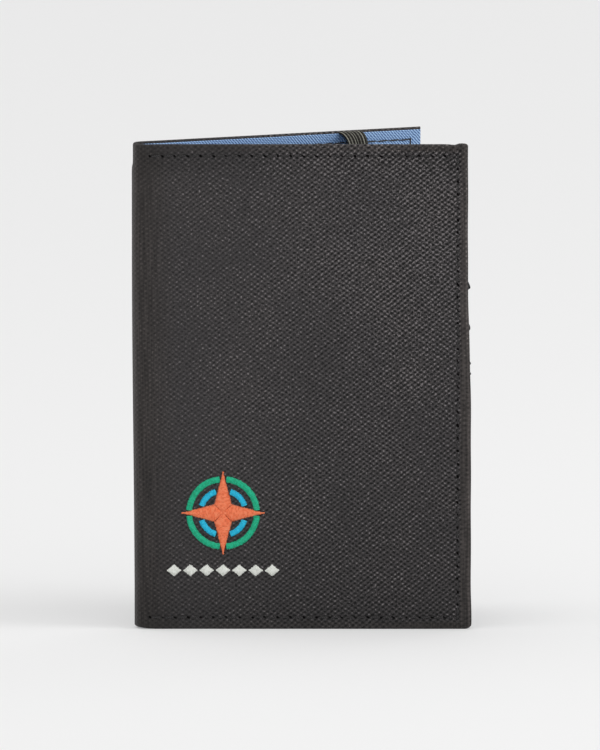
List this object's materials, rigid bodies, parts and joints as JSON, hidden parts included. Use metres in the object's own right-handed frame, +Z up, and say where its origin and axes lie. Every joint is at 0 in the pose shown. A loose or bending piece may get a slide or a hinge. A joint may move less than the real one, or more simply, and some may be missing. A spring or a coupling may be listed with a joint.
{
  "type": "passport holder wallet",
  "caption": "Soft bifold travel wallet with stiffened woven covers, a folding spine, card slots, a passport sleeve and an upright elastic band.",
  "frame": {"origin": "middle of the wallet's box in plan, on the surface that it stands on", "axes": "+Z up along the spine, -Y the way the front cover faces, +X from the spine towards the front cover's free edge"},
  "size_m": [0.097, 0.0548, 0.14],
  "materials": {
    "outer_cloth": "coarse plain weave, matt",
    "pocket_cloth": "fine plain weave, matt",
    "lining": "fine twill, soft sheen",
    "stiffener": "plain sheet",
    "elastic": "ribbed elastic webbing",
    "binding": "ribbed tape",
    "thread": "spun thread",
    "orange_embroidery": "satin stitch",
    "cyan_embroidery": "satin stitch",
    "green_embroidery": "satin stitch",
    "white_embroidery": "satin stitch"
  },
  "bodies": {
    "front_cover": {"outer_front": "outer_cloth", "stiffener_front": "stiffener", "lining_front": "lining", "slip_pocket": "pocket_cloth", "slip_pocket_binding": "binding", "card_slot_top": "pocket_cloth", "card_slot_top_binding": "binding", "card_slot_middle": "pocket_cloth", "card_slot_middle_binding": "binding", "card_slot_bottom": "pocket_cloth", "card_slot_bottom_binding": "binding", "slot_side_stitches": "thread", "slot_mouth_stitches": "thread", "edge_stitches_front_outside": "thread", "edge_stitches_front_inside": "thread", "embroidered_star": "orange_embroidery", "embroidered_inner_ring": "cyan_embroidery", "embroidered_outer_ring": "green_embroidery", "embroidered_lozenges": "white_embroidery"},
    "spine": {"outer_spine": "outer_cloth", "lining_spine": "lining", "outer_front_fold": "outer_cloth", "outer_back_fold": "outer_cloth", "lining_front_fold": "lining", "lining_back_fold": "lining"},
    "back_cover": {"outer_back": "outer_cloth", "stiffener_back": "stiffener", "lining_back": "lining", "passport_sleeve": "pocket_cloth", "passport_sleeve_binding": "binding", "sleeve_side_stitches": "thread", "sleeve_mouth_stitches": "thread", "edge_stitches_back_outside": "thread", "edge_stitches_back_inside": "thread", "elastic_top_end": "elastic", "elastic_bottom_end": "elastic"},
    "elastic": {"elastic_band": "elastic"}
  },
  "joints": [
    {"name": "front_fold", "type": "hinge", "parent": "front_cover", "child": "spine", "pos_m": [-0.04728, -0.0271, 0.07], "axis": [0, 0, 1], "range_deg": [-13.1, 74.9], "deforming": ["outer_front_fold", "lining_front_fold"]},
    {"name": "back_fold", "type": "hinge", "parent": "spine", "child": "back_cover", "pos_m": [-0.0491, -0.02034, 0.07], "axis": [0, 0, 1], "range_deg": [-13.1, 74.9], "deforming": ["outer_back_fold", "lining_back_fold"]},
    {"name": "elastic_pull", "type": "slide", "parent": "back_cover", "child": "elastic", "axis": [0.8643, 0.503, 0], "range_m": [0, 0.032], "stiffness_N_per_m": 20, "deforming": ["elastic_top_end", "elastic_bottom_end"]}
  ],
  "couplings": [
    {"joint": "front_fold", "follows": "back_fold", "ratio": 1}
  ]
}
